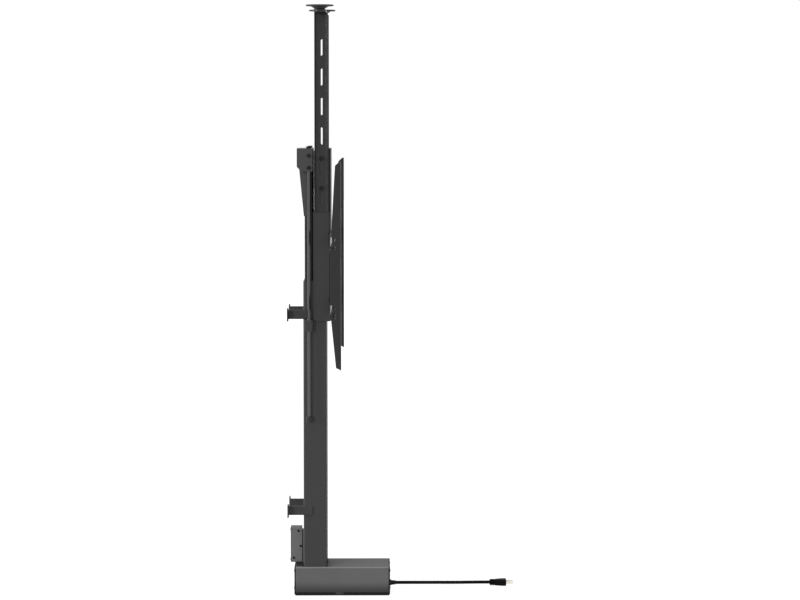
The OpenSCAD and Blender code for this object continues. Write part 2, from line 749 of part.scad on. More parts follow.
// U-shaped shoe that grips the edge of the column's front lip
module carriage_shoes() color("#d8d6cc") both_sides() slab_z(shoe_z0, shoe_z1) difference() {
    y0 = slot_y - 4;
    y1 = rack_leg_y0 - 2;
    translate([col_in_x1 - 7, y0]) square([web_x0 - col_in_x1 + 7, y1 - y0]);
    translate([col_in_x1 - slide_gap, slot_y - slide_gap]) square([column_wall + 2 * slide_gap, y1]);
}

module side_glides() color("#d8d6cc") both_sides()
    slab_y(col_y + slide_gap, flange_y0)
        round_rect([car_x0 + 4, shoe_z0 + flange_r], [web_x0 - 8, shoe_z1], 4);

module upper_shoe() color("#d8d6cc") slab_z(upper_shoe_z0, upper_shoe_z1) difference() {
    lip_x0 = mast_x1 + 1.5;
    translate([lip_x0, -shoe_y]) square([shoe_x1 - lip_x0, 2 * shoe_y]);
    translate([lip_x0 - cut, -tee_stem_y - slide_gap]) square([tee_stem, 2 * (tee_stem_y + slide_gap)]);
    translate([mast_x1 + tee_stem - slide_gap, -tee_head_y - slide_gap])
        square([tee_head + 2 * slide_gap, 2 * (tee_head_y + slide_gap)]);
}

// I-shaped spacer between the upper shoe and the carriage
module shoe_bracket() color("#5b5d60") slab_z(upper_shoe_z0, upper_shoe_z1) {
    for (x = [shoe_x1, web_x0 - 3]) translate([x, -10]) square([3, 20]);
    translate([shoe_x1 + 1, -2]) square([web_x0 - shoe_x1 - 2, 4]);
}

// Lid frame

// Channel that opens outward, with sloped inner corners
bar_slope = 2.4;
module lid_bar() difference() {
    slab_z(bar_z0, bar_z1) difference() {
        translate([bar_x0, bar_y0]) square([bar_w, bar_depth]);
        polygon([[bar_x0 + bar_t, bar_y1 + cut], [bar_x0 + bar_t, bar_y0 + bar_t + bar_slope],
            [bar_x0 + bar_t + bar_slope, bar_y0 + bar_t], [bar_x1 - bar_t - bar_slope, bar_y0 + bar_t],
            [bar_x1 - bar_t, bar_y0 + bar_t + bar_slope], [bar_x1 - bar_t, bar_y1 + cut]]);
    }
    for (k = [0 : bar_slots - 1])
        slab_y(bar_y0 - cut, bar_y1)
            slot_2d(bar_mid_x, bar_z0 + first_slot + k * bar_slot_pitch, bar_slot_w, bar_slot_len);
}

module left_lid_bar() color("#3c3e41") mirror([0, 1, 0]) lid_bar();
module right_lid_bar() color("#3c3e41") lid_bar();

// Shoulder screws that hold the bars: shoulder, head, thread, and the nut inside the flange
module lid_bar_screws() color("#1f2021") both_sides() for (z = lid_screw_z) {
    head_at = bar_y0 + bar_t + slide_gap;
    bar_along_y(bar_mid_x, flange_y1, head_at + 1, z, bar_slot_w - 0.7);
    bar_along_y(bar_mid_x, head_at, head_at + 3, z, bar_slot_w + 4);
    bar_along_y(bar_mid_x, flange_y0 - 3, flange_y1 + 1, z, lid_thread_d);
    translate([bar_mid_x, flange_y0 - 3, z]) rotate([-90, 0, 0])
        cylinder(d = lid_thread_d * 1.9, h = 3, $fn = 6);
}

module lid_crossbar() color("#3c3e41") slab_z(bar_z1, crossbar_z1) {
    translate([bar_x0, -pad_spacing / 2]) square([crossbar_w, pad_spacing]);
    for (side = [-1, 1]) translate([crossbar_x, side * pad_spacing / 2]) circle(d = crossbar_w);
}

// Round pads under the furniture lid, each on a cone
module lid_pads() color("#2a2b2d") for (side = [-1, 1])
    translate([crossbar_x, side * pad_spacing / 2, crossbar_z1]) rotate_extrude()
        polygon([[0, 0], [10, 0], [20, pad_boss_h], [pad_d / 2 - pad_edge, pad_boss_h],
            [pad_d / 2, pad_boss_h + pad_edge], [pad_d / 2, pad_boss_h + pad_t - pad_edge],
            [pad_d / 2 - pad_edge, pad_boss_h + pad_t], [0, pad_boss_h + pad_t]]);

// Screen mount

// Channel with lips, open to the front
module rail(z) slab_y(-rail_len / 2, rail_len / 2) {
    x1 = front_x + rail_d;
    h = rail_h / 2;
    polygon([[front_x, z - h], [x1, z - h], [x1, z - h + rail_lip], [x1 - rail_t, z - h + rail_lip],
        [x1 - rail_t, z - h + rail_t], [front_x + rail_t, z - h + rail_t], [front_x + rail_t, z + h - rail_t],
        [x1 - rail_t, z + h - rail_t], [x1 - rail_t, z + h - rail_lip], [x1, z + h - rail_lip],
        [x1, z + h], [front_x, z + h]]);
}

rail_screw_d = 6;
rail_screw_y = 50;
rail_screw_at = [for (z = [lower_rail_z, upper_rail_z], side = [-1, 1]) [side * rail_screw_y, z]];

module rail_screw_bores() for (p = rail_screw_at)
    bar_along_x(web_x0 - cut, front_x + rail_t + cut, p.x, p.y, rail_screw_d + 2 * seat_gap);

module upper_rail() color("#35373a") difference() {
    rail(upper_rail_z);
    rail_screw_bores();
}

module lower_rail() color("#35373a") difference() {
    rail(lower_rail_z);
    rail_screw_bores();
}

module rail_screws() color("#1f2021") for (p = rail_screw_at) {
    bar_along_x(front_x + rail_t, front_x + rail_t + 3, p.x, p.y, rail_screw_d + 5);
    bar_along_x(web_x0 - 1, front_x + rail_t + 1, p.x, p.y, rail_screw_d);
}

// Side view of an arm: deep between the rails, tapered to both ends, cut out round the rails
module arm_side() difference() {
    polygon([[arm_x1, arm_z0], [arm_x1 - 10.7, arm_z0 + 5], [arm_x0, lower_rail_z + 4],
        [arm_x0, upper_rail_z - 24], [arm_x1 - 12.4, arm_z1 - 8], [arm_x1 - 3.6, arm_z1], [arm_x1, arm_z1]]);
    for (z = [lower_rail_z, upper_rail_z])
        translate([arm_x0 - 10, z - rail_h / 2 - arm_gap])
            square([front_x + rail_d + arm_gap - arm_x0 + 10, rail_h + 2 * arm_gap]);
}

// Hook that reaches through the rail's front and up behind its lip
module arm_hook(z) {
    lip_x = front_x + rail_d;
    hook_x1 = lip_x - rail_t - arm_gap;
    polygon([[lip_x + 1, z - 3], [hook_x1 - 2.8, z - 3], [hook_x1 - 2.8, z + rail_h / 2 - rail_lip + 2],
        [hook_x1, z + rail_h / 2 - rail_lip + 2], [hook_x1, z + 3], [lip_x + 1, z + 3]]);
}

arm_slot_len = 84;
arm_slots = 4;
module arm(y) translate([0, y, 0]) difference() {
    union() {
        both_sides() slab_y(arm_w / 2 - arm_t, arm_w / 2) {
            arm_side();
            for (z = [lower_rail_z, upper_rail_z]) arm_hook(z);
        }
        span([arm_x1 - arm_t, -arm_w / 2, arm_z0], [arm_x1, arm_w / 2, arm_z1]);
        span([arm_x0 + 4, -arm_w / 2 + 1, lock_tab_z], [arm_x1 - 4, arm_w / 2 - 1, lock_tab_z + 3]);
    }
    for (k = [0 : arm_slots - 1])
        slab_x(arm_x1 - arm_t - cut, arm_x1 + cut)
            slot_2d(0, arm_z0 + (k + 0.5) * (arm_z1 - arm_z0) / arm_slots, arm_slot_w, arm_slot_len);
    bar_along_z(lock_x, 0, lock_tab_z - cut, lock_tab_z + 3 + cut, lock_d + 2 * seat_gap);
}

module arm_lock(y) {
    bar_along_z(lock_x, y, lock_tab_z - 2, lower_rail_z - rail_h / 2 - slide_gap, lock_d);
    bar_along_z(lock_x, y, lock_tab_z - 9, lock_tab_z - 1, 10);
}

module left_arm() color("#37393c") arm(-arm_at);
module right_arm() color("#37393c") arm(arm_at);
module left_arm_lock() color("#1f2021") arm_lock(-arm_at);
module right_arm_lock() color("#1f2021") arm_lock(arm_at);

// Wall brackets and controls

// L-shaped ears on the column's sides, with their screw flanges turned outward
module wall_bracket(z) both_sides() difference() {
    union() {
        span([bracket_x0, col_y, z], [bracket_x1, col_y + bracket_t, z + bracket_h]);
        span([bracket_x0, col_y, z - bracket_lift],
            [bracket_x0 + bracket_t, col_y + bracket_flange, z + bracket_h + bracket_lift]);
    }
    bar_along_x(bracket_x0 - cut, bracket_x0 + bracket_t + cut, bracket_hole_y, z + bracket_h / 2,
        bracket_hole_d);
}

module upper_wall_bracket() color("#2f3133") wall_bracket(upper_bracket_z);
module lower_wall_bracket() color("#2f3133") wall_bracket(lower_bracket_z);

control_in_x0 = control_x0 + control_cover_t;
control_x1 = col_x0 - control_foot;
control_foot_h = control_h - 7;
control_r = 3;

// Box on a lower foot that stands against the column
module control_box() color("#6c6e70") difference() {
    union() {
        slab_x(control_in_x0, control_x1)
            round_rect([-control_w / 2, control_z0], [control_w / 2, control_z0 + control_h], control_r);
        span([control_x1 - cut, -control_w / 2 + control_r, control_z0],
            [col_x0, control_w / 2 - control_r, control_z0 + control_foot_h]);
    }
    slab_x(control_in_x0 - cut, control_x1 - control_wall)
        round_rect([-control_w / 2 + control_wall, control_z0 + control_wall],
            [control_w / 2 - control_wall, control_z0 + control_h - control_wall], control_r - control_wall);
}

module control_box_cover() color("#77797b") slab_x(control_x0, control_in_x0)
    round_rect([-control_w / 2, control_z0], [control_w / 2, control_z0 + control_h], control_r);

// Screws in the box's sides, placed from its top front corner
control_screw_at = [[-8, -8.5], [-3.3, -42], [-18.6, -68]];
module control_box_screws() color("#1f2021") both_sides() for (p = control_screw_at)
    bar_along_y(control_x1 + p.x, control_w / 2, control_w / 2 + 1.8, control_z0 + control_h + p.y, 5);

module receiver_board() color("#2d5a3c") {
    x1 = control_x1 - control_wall;
    y1 = control_w / 2 - control_wall - 2;
    z0 = control_z0 + control_wall + 5;
    z1 = control_z0 + control_h - control_wall - 5;
    span([x1 - 6, -y1, z0], [x1 - 4.4, y1, z1]);
    for (z = [z0 + 5, z1 - 5], side = [-1, 1])
        bar_along_x(x1 - 5, x1, side * (y1 - 3.5), z, 5);
    span([x1 - 13, -y1 + 3, z0 + 12], [x1 - 5, y1 - 6, z1 - 28]);
}

// Rubber strip over the cable opening, with a collar under the control box
module cable_grommet() color("#141415") {
    slab_z(base_h, base_h + grommet_h / 2)
        round_rect([base_x0 + cap_t + pass_gap, -grommet_y], [col_x0 - slide_gap, grommet_y], 4);
    slab_z(base_h + grommet_h / 2 - 0.2, base_h + grommet_h)
        round_rect([base_x0 + cap_t + 3, -control_w / 2 + 3], [col_x0 - slide_gap, control_w / 2 - 3], 3);
}

// Mains lead

relief_neck_d = cord_d + 3;
module strain_relief() color("#141415") translate([0, lead_y, lead_z]) rotate([0, 90, 0])
    rotate_extrude() {
        neck_r = relief_neck_d / 2;
        wall_x = base_x1 - cap_t;
        polygon([[0, wall_x - 5], [neck_r + 2, wall_x - 5], [neck_r + 2, wall_x], [neck_r, wall_x],
            [neck_r, base_x1], [neck_r + 1.6, base_x1], [neck_r + 1.6, base_x1 + 2.4],
            [cord_d / 2 + 1.9, base_x1 + 3.4], [cord_d / 2 + 0.8, relief_end], [0, relief_end]]);
    }

function unit(v) = v / norm(v);
function cord_dir(i) = unit(cord_route[min(i + 1, len(cord_route) - 1)] - cord_route[max(i - 1, 0)]);
function cord_ring(i) =
    let (along = cord_dir(i), across = unit(cross([0, 0, 1], along)), up = cross(along, across))
    [for (k = [0 : cord_sides - 1]) let (a = 360 * k / cord_sides)
        cord_route[i] + cord_d / 2 * (cos(a) * across + sin(a) * up)];

module power_cord() color("#161617") {
    rings = len(cord_route);
    points = [for (i = [0 : rings - 1]) each cord_ring(i)];
    start = [[for (k = [0 : cord_sides - 1]) k]];
    finish = [[for (k = [cord_sides - 1 : -1 : 0]) (rings - 1) * cord_sides + k]];
    walls = [for (i = [0 : rings - 2], k = [0 : cord_sides - 1])
        let (a = i * cord_sides + k, b = i * cord_sides + (k + 1) % cord_sides)
        each [[a, a + cord_sides, b + cord_sides], [a, b + cord_sides, b]]];
    polyhedron(points, concat(start, walls, finish));
}

// Moulded plug: tapers in both views towards the lead
module cord_plug() color("#161617") {
    x0 = cord_end.x;
    x1 = x0 + plug_len;
    intersection() {
        slab_y(cord_end.y - plug_w1, cord_end.y + plug_w1) translate([0, cord_end.z])
            polygon([[x0, -plug_h0 / 2 + 1.2], [x0 + 6, -plug_h0 / 2], [x0 + 14, -plug_h0 / 2],
                [x1 - 12, -plug_h1 / 2], [x1, -plug_h1 / 2], [x1, plug_h1 / 2], [x1 - 12, plug_h1 / 2],
                [x0 + 14, plug_h0 / 2], [x0 + 6, plug_h0 / 2], [x0, plug_h0 / 2 - 1.2]]);
        slab_z(cord_end.z - plug_w1, cord_end.z + plug_w1) translate([0, cord_end.y])
            polygon([[x0, -plug_h0 / 2 + 1], [x0 + 10, -plug_h0 / 2], [x1 - 10, -plug_w1 / 2],
                [x1, -plug_w1 / 2], [x1, plug_w1 / 2], [x1 - 10, plug_w1 / 2], [x0 + 10, plug_h0 / 2],
                [x0, plug_h0 / 2 - 1]]);
    }
}

module plug_blades() color("#cfcabb") for (side = [-1, 1])
    translate([cord_end.x + plug_len, cord_end.y + side * 6.35, cord_end.z]) difference() {
        slab_y(-0.75, 0.75) polygon([[0, -3.15], [blade_len - 2, -3.15], [blade_len, -2], [blade_len, 2],
            [blade_len - 2, 3.15], [0, 3.15]]);
        bar_along_y(blade_len - 4, -2, 2, 0, 3);
    }

base_plate();
base_housing();
base_end_caps();
base_mat();
housing_screws();
column();
mast_guides();
fixed_rack();
bearing_plate();
screw_bearing();
gearbox();
drive_motor();
power_board();
upper_wall_bracket();
lower_wall_bracket();
guide_blocks();
guide_bushes();
control_box();
control_box_cover();
control_box_screws();
receiver_board();
cable_grommet();
strain_relief();
power_cord();
cord_plug();
plug_blades();
lead_screw();
screw_coupler();
mast();
drive_nut();
head_bracket();
head_bolts();
guide_rods();
rod_stops();
pinion_axle();
pinion_clip();
mast_rail();
sync_pinion();
carriage();
front_plate();
carriage_rack();
carriage_shoes();
side_glides();
upper_shoe();
shoe_bracket();
upper_rail();
lower_rail();
rail_screws();
lid_bar_screws();
left_lid_bar();
right_lid_bar();
lid_crossbar();
lid_pads();
left_arm();
left_arm_lock();
right_arm();
right_arm_lock();
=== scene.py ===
import json
import math

import bpy
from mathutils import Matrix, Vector


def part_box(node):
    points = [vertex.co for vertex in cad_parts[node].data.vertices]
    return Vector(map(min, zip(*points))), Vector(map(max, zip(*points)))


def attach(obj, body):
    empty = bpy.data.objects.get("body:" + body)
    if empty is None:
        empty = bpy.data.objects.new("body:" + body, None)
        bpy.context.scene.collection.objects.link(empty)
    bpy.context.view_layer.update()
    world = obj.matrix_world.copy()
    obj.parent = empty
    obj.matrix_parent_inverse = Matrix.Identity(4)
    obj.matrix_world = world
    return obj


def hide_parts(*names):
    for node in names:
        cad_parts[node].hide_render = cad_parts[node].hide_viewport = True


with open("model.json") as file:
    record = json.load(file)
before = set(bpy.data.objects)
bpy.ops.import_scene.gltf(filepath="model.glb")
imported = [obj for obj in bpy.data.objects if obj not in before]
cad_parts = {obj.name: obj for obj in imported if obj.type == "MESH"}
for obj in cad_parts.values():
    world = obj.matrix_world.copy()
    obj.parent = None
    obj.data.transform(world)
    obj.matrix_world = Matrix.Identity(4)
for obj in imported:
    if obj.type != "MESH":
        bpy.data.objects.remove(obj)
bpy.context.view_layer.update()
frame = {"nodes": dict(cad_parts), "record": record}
nodes = frame["nodes"]
scene = bpy.context.scene
both_sides = (-1, 1)

# Points closer than this are one point
near = 0.00001


# Camera, at the photograph's viewing angle

camera_place = (0.067, -6.33, 1.046)
camera_target = (0.1268, 0, 0.643)
focal_length = 130.14
sensor_width = 36
far_limit = 60


def place_camera():
    lens = bpy.data.cameras.new("side_view")
    lens.lens = focal_length
    lens.sensor_width = sensor_width
    lens.clip_end = far_limit
    camera = bpy.data.objects.new("side_view", lens)
    scene.collection.objects.link(camera)
    camera.location = camera_place
    aim = Vector(camera_target) - camera.location
    camera.rotation_euler = aim.to_track_quat("-Z", "Y").to_euler()
    scene.camera = camera


# Building blocks for the finishes

def new_group(name, inputs, outputs):
    group = bpy.data.node_groups.new(name, "ShaderNodeTree")
    for socket, value in inputs:
        made = group.interface.new_socket(socket, in_out="INPUT", socket_type="NodeSocketFloat")
        made.default_value = value
    for socket, kind in outputs:
        group.interface.new_socket(socket, in_out="OUTPUT", socket_type=kind)
    entry = group.nodes.new("NodeGroupInput")
    leave = group.nodes.new("NodeGroupOutput")
    return group, entry.outputs, leave.inputs


def node(tree, kind, **settings):
    made = tree.nodes.new(kind)
    for key, value in settings.items():
        setattr(made, key, value)
    return made


def feed(tree, socket, value):
    """A number is set on the socket, and anything else is linked to it"""
    if isinstance(value, (int, float)):
        socket.default_value = value
    else:
        tree.links.new(value, socket)


def math_node(tree, operation, a, b, clamp=False):
    made = node(tree, "ShaderNodeMath", operation=operation, use_clamp=clamp)
    feed(tree, made.inputs[0], a)
    feed(tree, made.inputs[1], b)
    return made.outputs[0]


def noise(tree, scale, detail, rough, stretch=(1, 1, 1)):
    place = node(tree, "ShaderNodeTexCoord")
    turn = node(tree, "ShaderNodeMapping")
    turn.inputs["Scale"].default_value = stretch
    tree.links.new(place.outputs["Object"], turn.inputs["Vector"])
    made = node(tree, "ShaderNodeTexNoise")
    tree.links.new(turn.outputs["Vector"], made.inputs["Vector"])
    feed(tree, made.inputs["Scale"], scale)
    made.inputs["Detail"].default_value = detail
    made.inputs["Roughness"].default_value = rough
    return made.outputs["Fac"]


def remap(tree, value, low, high, to_low=0.0, to_high=1.0, **settings):
    made = node(tree, "ShaderNodeMapRange", **settings)
    tree.links.new(value, made.inputs["Value"])
    for socket, number in (("From Min", low), ("From Max", high), ("To Min", to_low), ("To Max", to_high)):
        feed(tree, made.inputs[socket], number)
    return made.outputs["Result"]


# Where a mix node keeps its two colours and their mix
colour_a, colour_b, colour_out = 6, 7, 2


def mix_colour(tree, factor, a, b):
    made = node(tree, "ShaderNodeMix", data_type="RGBA")
    tree.links.new(factor, made.inputs[0])
    for socket, value in ((made.inputs[colour_a], a), (made.inputs[colour_b], b)):
        if isinstance(value, tuple):
            socket.default_value = (*value, 1)
        else:
            tree.links.new(value, socket)
    return made.outputs[colour_out]


def grey(value):
    return (value, value, value)


# Shared effects: grain, worn edges, dust, drawn lines and painted shade near the floor

def make_coat_grain():
    group, given, out = new_group("coat_grain", [("Grain Scale", 900.0), ("Cloud Scale", 7.0)],
                                  [("Height", "NodeSocketFloat"), ("Cloud", "NodeSocketFloat")])
    fine = noise(group, given["Grain Scale"], detail=2.0, rough=0.55)
    group.links.new(fine, out["Height"])
    cloud = noise(group, given["Cloud Scale"], detail=4.0, rough=0.55)
    group.links.new(remap(group, cloud, 0.3, 0.7), out["Cloud"])
    return group


def make_soft_edge():
    group, given, out = new_group("soft_edge", [("Radius", 0.0006), ("Wear", 0.5)],
                                  [("Normal", "NodeSocketVector"), ("Wear", "NodeSocketFloat")])
    bevel = node(group, "ShaderNodeBevel", samples=6)
    group.links.new(given["Radius"], bevel.inputs["Radius"])
    group.links.new(bevel.outputs["Normal"], out["Normal"])
    shape = node(group, "ShaderNodeNewGeometry")
    dot = node(group, "ShaderNodeVectorMath", operation="DOT_PRODUCT")
    group.links.new(bevel.outputs["Normal"], dot.inputs[0])
    group.links.new(shape.outputs["True Normal"], dot.inputs[1])
    edge = remap(group, dot.outputs["Value"], 0.99, 0.82)
    patchy = remap(group, noise(group, 60.0, detail=5.0, rough=0.7), 0.35, 0.65)
    worn = math_node(group, "MULTIPLY", edge, patchy)
    worn = math_node(group, "MULTIPLY", worn, given["Wear"], clamp=True)
    group.links.new(worn, out["Wear"])
    return group


def make_settled_dust():
    group, given, out = new_group("settled_dust", [("Amount", 0.3)], [("Mask", "NodeSocketFloat")])
    shape = node(group, "ShaderNodeNewGeometry")
    split = node(group, "ShaderNodeSeparateXYZ")
    group.links.new(shape.outputs["Normal"], split.inputs[0])
    facing = remap(group, split.outputs["Z"], 0.4, 1.0)
    specks = remap(group, noise(group, 240.0, detail=6.0, rough=0.75), 0.42, 0.7)
    mask = math_node(group, "MULTIPLY", facing, specks)
    mask = math_node(group, "MULTIPLY", mask, given["Amount"], clamp=True)
    group.links.new(mask, out["Mask"])
    return group


def make_drawn_streaks():
    group, given, out = new_group("drawn_streaks", [("Depth", 1.0)],
                                  [("Tone", "NodeSocketFloat"), ("Height", "NodeSocketFloat")])
    lines = noise(group, 420.0, detail=3.0, rough=0.6, stretch=(1, 1, 0.02))
    group.links.new(remap(group, lines, 0.3, 0.7), out["Tone"])
    group.links.new(math_node(group, "MULTIPLY", lines, given["Depth"]), out["Height"])
    return group


# Painted shade: a mask that is darker towards the floor, a little patchy
def make_floor_shade():
    group, given, out = new_group("floor_shade", [("Low", 0.006), ("High", 0.034)], [("Mask", "NodeSocketFloat")])
    place = node(group, "ShaderNodeTexCoord")
    split = node(group, "ShaderNodeSeparateXYZ")
    group.links.new(place.outputs["Object"], split.inputs[0])
    height = remap(group, split.outputs["Z"], given["Low"], given["High"], 1.0, 0.0, interpolation_type="SMOOTHSTEP")
    patchy = remap(group, noise(group, 30.0, detail=4.0, rough=0.6), 0.2, 0.8, 0.85, 1.0)
    group.links.new(math_node(group, "MULTIPLY", height, patchy), out["Mask"])
    return group


coat_grain = make_coat_grain()
soft_edge = make_soft_edge()
settled_dust = make_settled_dust()
drawn_streaks = make_drawn_streaks()
floor_shade = make_floor_shade()


# Finishes

paint_grain, paint_cloud, paint_relief = 900.0, 9.0, 0.35
# The last value is the share of the paint's tone left in the painted shade near the floor
cloud_dark, cloud_light, painted_shade_tone = 0.93, 1.07, 0.2
plastic_cloud, plastic_edge, plastic_wear, plastic_dust = 14.0, 0.0005, 0.25, 0.1
steel_edge, steel_relief, bare_steel = 0.0004, 0.2, 0.8
grain_height, streak_height = 0.0002, 0.0001
dust_on_paint = (0.3, 0.295, 0.29)
dust_on_plastic = (0.34, 0.33, 0.31)


def place_group(tree, group, **values):
    made = node(tree, "ShaderNodeGroup")
    made.node_tree = group
    for key, value in values.items():
        made.inputs[key.replace("_", " ").title()].default_value = value
    return made.outputs


def finish_base(name):
    material = bpy.data.materials.new(name)
    material.use_nodes = True
    tree = material.node_tree
    return material, tree, tree.nodes["Principled BSDF"]


def bump(tree, shader, height, strength, distance, normal):
    made = node(tree, "ShaderNodeBump")
    made.inputs["Strength"].default_value = strength
    made.inputs["Distance"].default_value = distance
    tree.links.new(height, made.inputs["Height"])
    tree.links.new(normal, made.inputs["Normal"])
    tree.links.new(made.outputs["Normal"], shader.inputs["Normal"])


def colour_and_sheen(tree, shader, colour, mask, smoothest, roughest):
    tree.links.new(colour, shader.inputs["Base Color"])
    tree.links.new(remap(tree, mask, 0.0, 1.0, smoothest, roughest), shader.inputs["Roughness"])


def powder_coat(name, tone, worn, rough=0.32, gloss=0.3, radius=0.0006, wear=0.4, dust=0.1, painted_shade=0.0):
    """Painted steel: the paint's tone, and its tone where an edge is worn"""
    material, tree, shader = finish_base(name)
    surface = place_group(tree, coat_grain, grain_scale=paint_grain, cloud_scale=paint_cloud)
    edge = place_group(tree, soft_edge, radius=radius, wear=wear)
    film = place_group(tree, settled_dust, amount=dust)
    colour = mix_colour(tree, surface["Cloud"], grey(cloud_dark * tone), grey(cloud_light * tone))
    colour = mix_colour(tree, edge["Wear"], colour, grey(worn))
    colour = mix_colour(tree, film["Mask"], colour, dust_on_paint)
    # Darker towards the floor: painted shade
    if painted_shade:
        low = place_group(tree, floor_shade)
        painted_shade_mask = math_node(tree, "MULTIPLY", low["Mask"], painted_shade)
        colour = mix_colour(tree, painted_shade_mask, colour, grey(painted_shade_tone * tone))
    colour_and_sheen(tree, shader, colour, surface["Cloud"], rough - 0.05, rough + 0.06)
    shader.inputs["Specular IOR Level"].default_value = gloss
    bump(tree, shader, surface["Height"], paint_relief, grain_height, edge["Normal"])
    return material


def plated_steel(name, dark, light, rough=0.3, wear=0.4):
    material, tree, shader = finish_base(name)
    streak = place_group(tree, drawn_streaks, depth=1.0)
    edge = place_group(tree, soft_edge, radius=steel_edge, wear=wear)
    colour = mix_colour(tree, streak["Tone"], dark, light)
    colour = mix_colour(tree, edge["Wear"], colour, grey(bare_steel))
    colour_and_sheen(tree, shader, colour, streak["Tone"], rough - 0.06, rough + 0.1)
    shader.inputs["Metallic"].default_value = 1.0
    bump(tree, shader, streak["Height"], steel_relief, streak_height, edge["Normal"])
    return material


def moulded(name, dark, light, rough, gloss=0.5, grain=500.0, depth=0.3):
    """Plastic or rubber with the grain of its mould"""
    material, tree, shader = finish_base(name)
    surface = place_group(tree, coat_grain, grain_scale=grain, cloud_scale=plastic_cloud)
    edge = place_group(tree, soft_edge, radius=plastic_edge, wear=plastic_wear)
    film = place_group(tree, settled_dust, amount=plastic_dust)
    rubbed = tuple(min(1.0, 1.5 * c + 0.02) for c in light)
    colour = mix_colour(tree, surface["Cloud"], dark, light)
    colour = mix_colour(tree, edge["Wear"], colour, rubbed)
    colour = mix_colour(tree, film["Mask"], colour, dust_on_plastic)
    colour_and_sheen(tree, shader, colour, surface["Cloud"], rough - 0.05, rough + 0.05)
    shader.inputs["Specular IOR Level"].default_value = gloss
    bump(tree, shader, surface["Height"], depth, grain_height, edge["Normal"])
    return material


finishes = {
    "column_paint": powder_coat("charcoal_coat", 0.0285, 0.09),
    # Grey cover: its wide, pale worn edges are partly wear and partly a painted highlight on its folds, and it is
    # darker towards the floor by painted shade
    "base_paint": powder_coat("grey_coat", 0.105, 0.3, rough=0.62, gloss=0.1, radius=0.0024, wear=1.0, dust=0.03,
                              painted_shade=0.85),
    "black_paint": powder_coat("black_coat", 0.018, 0.08),
    "motor_finish": powder_coat("motor_coat", 0.02, 0.2, rough=0.36, gloss=0.4),
    "zinc_steel": plated_steel("zinc_plate", (0.47, 0.48, 0.49), (0.6, 0.61, 0.62)),
    "black_steel": plated_steel("black_oxide", grey(0.032), grey(0.046), rough=0.25, wear=0.1),
    "bronze": plated_steel("cut_bronze", (0.5, 0.34, 0.13), (0.62, 0.43, 0.18), rough=0.34),
    "blade_metal": plated_steel("nickel_plate", (0.68, 0.66, 0.6), (0.76, 0.74, 0.68), rough=0.22),
    "nylon": moulded("natural_nylon", (0.62, 0.61, 0.55), (0.7, 0.69, 0.63), 0.42),
    "rubber": moulded("black_rubber", grey(0.012), grey(0.018), 0.72, gloss=0.25, grain=700.0, depth=0.5),
    "cable_jacket": moulded("lead_jacket", grey(0.003), grey(0.005), 0.6, gloss=0.06, grain=900.0, depth=0.2),
    "grey_plastic": moulded("grey_moulding", grey(0.112), grey(0.126), 0.5, gloss=0.3, grain=800.0, depth=0.5),
    "board": moulded("board_mask", (0.02, 0.075, 0.035), (0.03, 0.1, 0.05), 0.35),
}
# The mast's near-black tone is painted shade: it stands for the shadow in the gap beside the rods
shaded_mast_coat = powder_coat("shaded_mast_coat", 0.008, 0.05, wear=0.2)
head_coat = powder_coat("head_coat", 0.04, 0.11)
carriage_coat = powder_coat("carriage_coat", 0.0255, 0.09)
arm_coat = powder_coat("arm_coat", 0.0125, 0.07)
# A paler coat for the folds of the base's cover: a painted highlight
fold_highlight_coat = powder_coat("fold_highlight_coat", 0.16, 0.28, rough=0.5, gloss=0.15)
dark_oxide = plated_steel("dark_oxide", grey(0.012), grey(0.02), rough=0.2, wear=0.4)
# The guide blocks' edges get a wide band of pale wear: a painted highlight along them, drawn as wear
block_highlight_coat = powder_coat("block_highlight_coat", 0.03, 0.3, radius=0.0016, wear=1.0)
ground_steel = plated_steel("ground_steel", grey(0.64), grey(0.74), rough=0.16)
rod_coat = powder_coat("rod_coat", 0.017, 0.12, rough=0.13, gloss=0.9, wear=0.2)
cap_coat = powder_coat("cap_coat", 0.009, 0.04, rough=0.5, gloss=0.1)
pad_coat = moulded("pad_rubber", grey(0.03), grey(0.038), 0.6, gloss=0.3, grain=700.0, depth=0.4)
own_finish = {"mast": shaded_mast_coat, "guide_rods": rod_coat, "carriage": carriage_coat, "front_plate": carriage_coat,
              "head_bracket": head_coat, "base_end_caps": cap_coat, "base_plate": cap_coat, "lid_pads": pad_coat,
              "left_arm": arm_coat, "right_arm": arm_coat, "upper_wall_bracket": finishes["column_paint"],
              "lower_wall_bracket": finishes["column_paint"], "mast_rail": ground_steel,
              "control_box_screws": cap_coat, "lid_bar_screws": dark_oxide, "head_bolts": dark_oxide,
              "guide_blocks": block_highlight_coat}


def slot_of(name):
    return next(entry["material_slot"] for entry in frame["record"]["subparts"] if entry["node"] == name)


def body_of(name):
    return next(body for body, held in frame["record"]["behaviour"]["bodies"].items() if name in held)


def coat_of(name):
    return own_finish.get(name, finishes[slot_of(name)])


def coat_solids():
    for entry in frame["record"]["subparts"]:
        solid = nodes[entry["node"]]
        solid.data.materials.clear()
        solid.data.materials.append(coat_of(entry["node"]))


# Mains lead: the same line as its solid, as a smooth round jacket

lead_diameter = 0.0072
lead_out = Vector((0.119, 0.025, 0.0145))
lying_height = 0.0038
plug_height = 0.0077
first_run, bend_run, bend_side, bend_steps = 0.016, 0.11, 0.066, 12
back_run, back_side, back_steps, last_run = 0.074, 0.021, 8, 0.008


def ease(step, steps):
    return (1 - math.cos(math.pi * step / steps)) / 2


def lead_route():
    points = [lead_out, lead_out + Vector((first_run / 2, 0, 0))]
    turn = lead_out + Vector((first_run, 0, 0))
    for step in range(bend_steps + 1):
        t = ease(step, bend_steps)
        points.append(turn + Vector((bend_run * step / bend_steps, bend_side * t, (lying_height - lead_out.z) * t)))
    turn = points[-1]
    for step in range(1, back_steps + 1):
        t = ease(step, back_steps)
        points.append(turn + Vector((back_run * step / back_steps, -back_side * t, (plug_height - lying_height) * t)))
    points.append(points[-1] + Vector((last_run, 0, 0)))
    return points


lead_points = lead_route()


